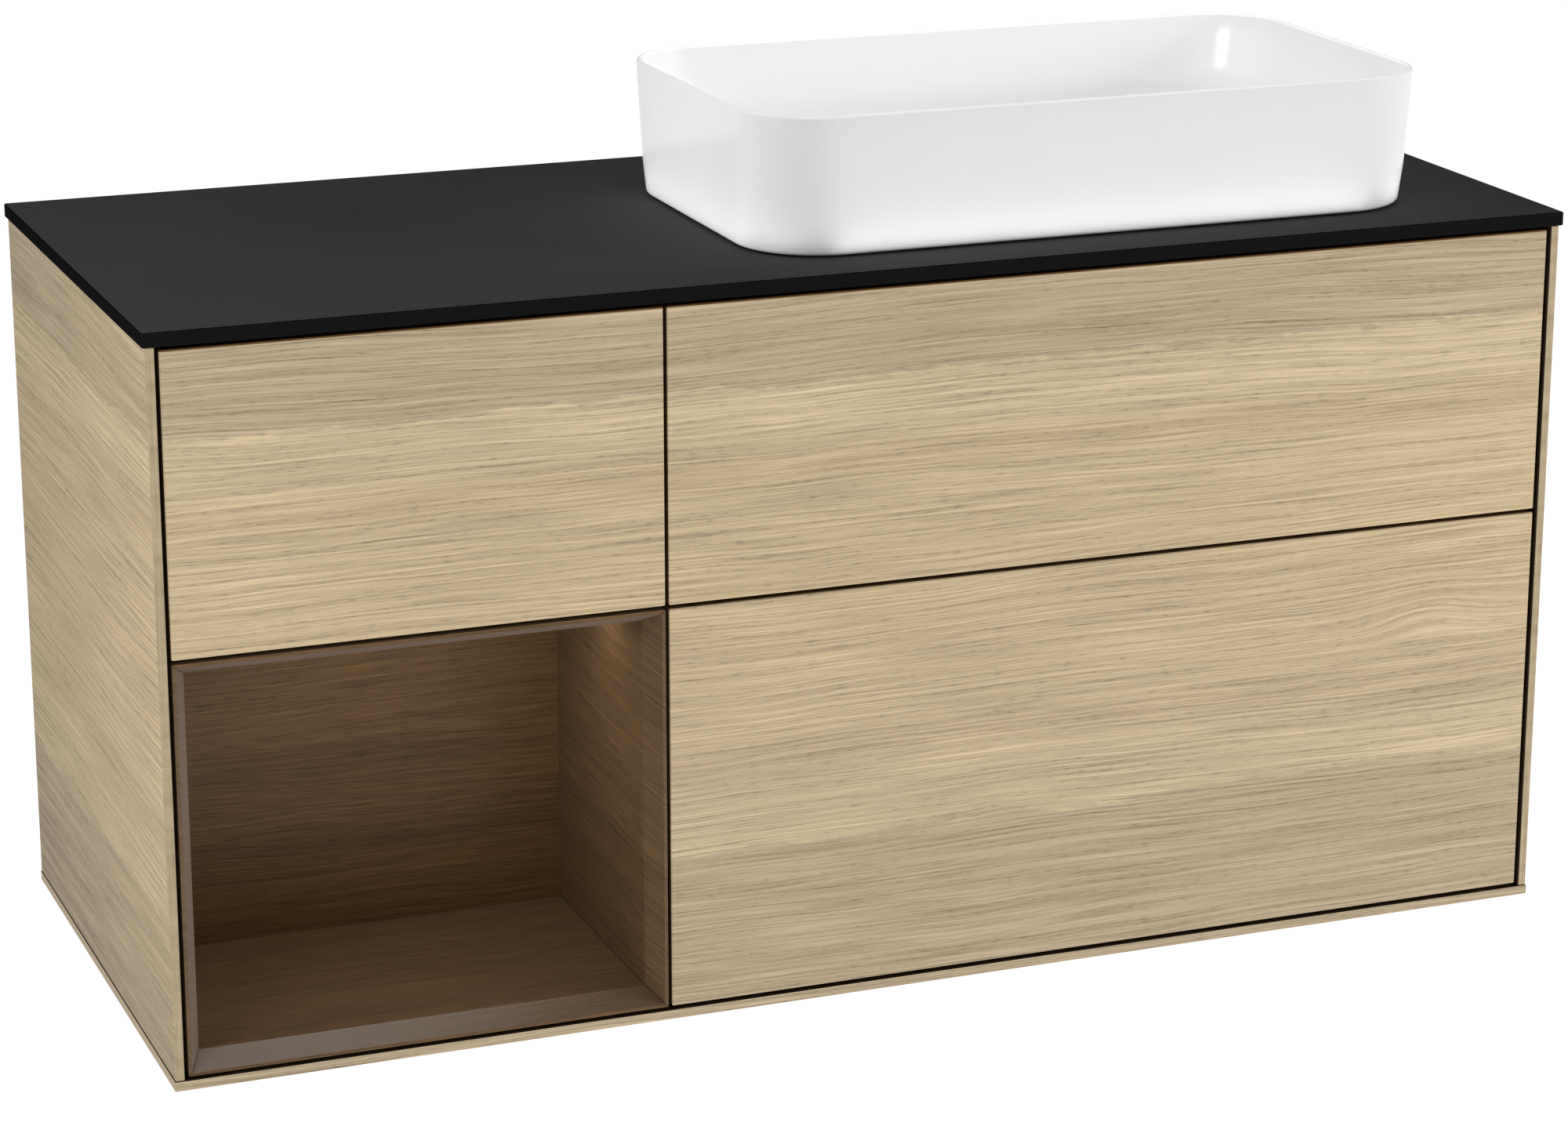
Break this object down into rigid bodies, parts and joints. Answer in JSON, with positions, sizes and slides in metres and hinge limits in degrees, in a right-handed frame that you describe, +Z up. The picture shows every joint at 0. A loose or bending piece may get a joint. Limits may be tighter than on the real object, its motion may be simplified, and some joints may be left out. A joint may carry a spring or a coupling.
{
  "type": "vessel sink on vanity",
  "caption": "Wall-hung vanity with a rectangular vessel basin on a black glass top, push-to-open drawers and an open niche.",
  "frame": {"origin": "under the middle of the cabinet: the centre of the bounding box, level with the underside of the bottom panel", "axes": "+X to the right as seen from the front, +Y towards the wall, +Z up; the drawers open towards -Y"},
  "size_m": [1.2, 0.501, 0.717],
  "materials": {
    "oak_veneer": "matt light oak veneer with fine level grain",
    "walnut_veneer": "satin dark walnut veneer",
    "black_glass": "matt black, opaque",
    "white_ceramic": "gloss white glaze",
    "chrome": "polished",
    "zinc_steel": "zinc plated",
    "drawer_metal": "matt anthracite powder coat",
    "carcass_board": "melamine faced board, warm grey",
    "sealing_rubber": "matt",
    "white_plastic": "satin",
    "aluminium": "anodised",
    "opal_diffuser": "opal"
  },
  "bodies": {
    "carcass": {"back_panel_left": "carcass_board", "back_panel_right": "carcass_board", "basin": "white_ceramic", "basin_seal": "sealing_rubber", "bottom_panel": "oak_veneer", "centre_partition": "carcass_board", "column_shelf": "carcass_board", "glass_top": "black_glass", "light_cover": "opal_diffuser", "light_profile": "aluminium", "light_strip": "white_plastic", "lower_right_cabinet_rail_left": "zinc_steel", "lower_right_cabinet_rail_right": "zinc_steel", "niche_back": "walnut_veneer", "niche_floor": "walnut_veneer", "niche_side_left": "walnut_veneer", "niche_side_right": "walnut_veneer", "niche_top": "walnut_veneer", "side_panel_left": "oak_veneer", "side_panel_right": "oak_veneer", "top_rail_back": "carcass_board", "top_rail_front": "carcass_board", "trap_cup": "white_plastic", "trap_nut": "white_plastic", "trap_outlet_pipe": "white_plastic", "upper_left_cabinet_rail_left": "zinc_steel", "upper_left_cabinet_rail_right": "zinc_steel", "upper_right_cabinet_rail_left": "zinc_steel", "upper_right_cabinet_rail_right": "zinc_steel", "wall_hanger_left": "zinc_steel", "wall_hanger_right": "zinc_steel", "wall_rosette": "chrome", "waste_flange": "chrome", "waste_locknut": "white_plastic", "waste_tailpiece": "white_plastic", "waste_washer": "sealing_rubber"},
    "upper_left_drawer": {"upper_left_back": "carcass_board", "upper_left_bottom": "carcass_board", "upper_left_front": "oak_veneer", "upper_left_side_left": "drawer_metal", "upper_left_side_right": "drawer_metal"},
    "upper_left_middle_rails": {"upper_left_middle_rail_left": "zinc_steel", "upper_left_middle_rail_right": "zinc_steel"},
    "upper_right_drawer": {"upper_right_back_left": "carcass_board", "upper_right_back_right": "carcass_board", "upper_right_bottom": "carcass_board", "upper_right_front": "oak_veneer", "upper_right_side_left": "drawer_metal", "upper_right_side_right": "drawer_metal", "upper_right_siphon_guard": "drawer_metal"},
    "upper_right_middle_rails": {"upper_right_middle_rail_left": "zinc_steel", "upper_right_middle_rail_right": "zinc_steel"},
    "lower_right_drawer": {"lower_right_back": "carcass_board", "lower_right_bottom": "carcass_board", "lower_right_front": "oak_veneer", "lower_right_side_left": "drawer_metal", "lower_right_side_right": "drawer_metal"},
    "lower_right_middle_rails": {"lower_right_middle_rail_left": "zinc_steel", "lower_right_middle_rail_right": "zinc_steel"},
    "waste_plug": {"waste_plug": "chrome"}
  },
  "joints": [
    {"name": "upper_left_drawer_slide", "type": "slide", "parent": "carcass", "child": "upper_left_drawer", "axis": [0, -1, 0], "range_m": [-0.002, 0.4]},
    {"name": "upper_left_middle_rail_slide", "type": "slide", "parent": "carcass", "child": "upper_left_middle_rails", "axis": [0, -1, 0], "range_m": [-0.001, 0.2]},
    {"name": "upper_right_drawer_slide", "type": "slide", "parent": "carcass", "child": "upper_right_drawer", "axis": [0, -1, 0], "range_m": [-0.002, 0.4]},
    {"name": "upper_right_middle_rail_slide", "type": "slide", "parent": "carcass", "child": "upper_right_middle_rails", "axis": [0, -1, 0], "range_m": [-0.001, 0.2]},
    {"name": "lower_right_drawer_slide", "type": "slide", "parent": "carcass", "child": "lower_right_drawer", "axis": [0, -1, 0], "range_m": [-0.002, 0.4]},
    {"name": "lower_right_middle_rail_slide", "type": "slide", "parent": "carcass", "child": "lower_right_middle_rails", "axis": [0, -1, 0], "range_m": [-0.001, 0.2]},
    {"name": "waste_plug_lift", "type": "slide", "parent": "carcass", "child": "waste_plug", "axis": [0, 0, 1], "range_m": [0, 0.008]}
  ],
  "couplings": [
    {"joint": "upper_left_middle_rail_slide", "follows": "upper_left_drawer_slide", "ratio": 0.5},
    {"joint": "upper_right_middle_rail_slide", "follows": "upper_right_drawer_slide", "ratio": 0.5},
    {"joint": "lower_right_middle_rail_slide", "follows": "lower_right_drawer_slide", "ratio": 0.5}
  ]
}
